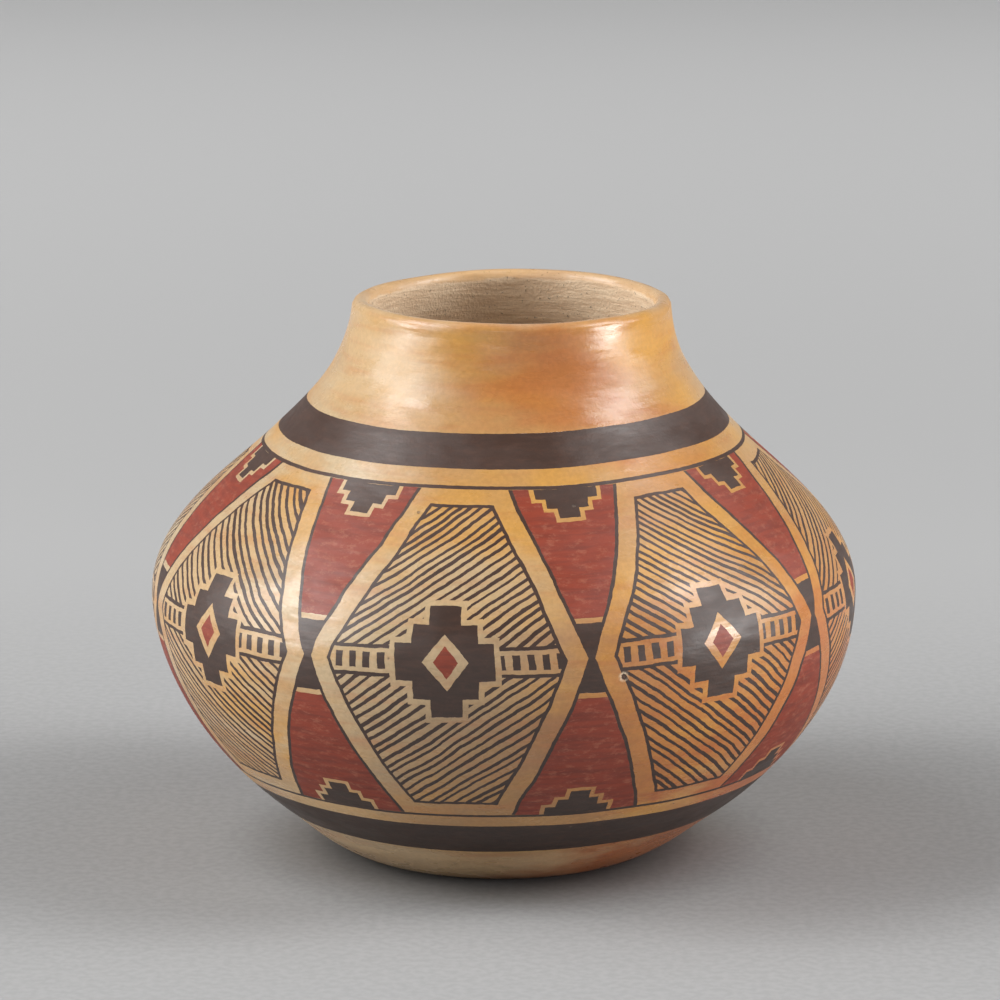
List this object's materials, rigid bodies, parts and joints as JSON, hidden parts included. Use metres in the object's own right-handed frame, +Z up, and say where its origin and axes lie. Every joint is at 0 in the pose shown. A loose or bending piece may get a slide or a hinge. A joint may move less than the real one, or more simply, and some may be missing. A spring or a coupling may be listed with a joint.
{
  "type": "pueblo pottery jar",
  "caption": "Coil-built clay jar with a round painted belly, a sloping shoulder, a short neck with a rounded lip and a flat spot to rest on.",
  "frame": {"origin": "centre of the flat spot that the jar rests on, on the jar's own axis", "axes": "+Z up along the jar's axis, -Y towards the side seen from the front"},
  "size_m": [0.18, 0.18, 0.142],
  "materials": {
    "bare_base": "smooth unpainted cream clay, rubbed to a low satin",
    "painted_wall": "stone-burnished cream slip with orange blushes, painted in matte red and brown-black clay paint",
    "burnished_neck": "stone-burnished golden slip with a soft gloss, bare tan clay inside"
  },
  "bodies": {
    "root": {"base_pat": "bare_base", "lower_wall_coil_1": "painted_wall", "lower_wall_coil_2": "painted_wall", "lower_wall_coil_3": "painted_wall", "belly_coil_1": "painted_wall", "belly_coil_2": "painted_wall", "belly_coil_3": "painted_wall", "shoulder_coil_1": "painted_wall", "shoulder_coil_2": "painted_wall", "shoulder_coil_3": "painted_wall", "neck_coil": "burnished_neck", "rim_coil": "burnished_neck"}
  },
  "joints": []
}
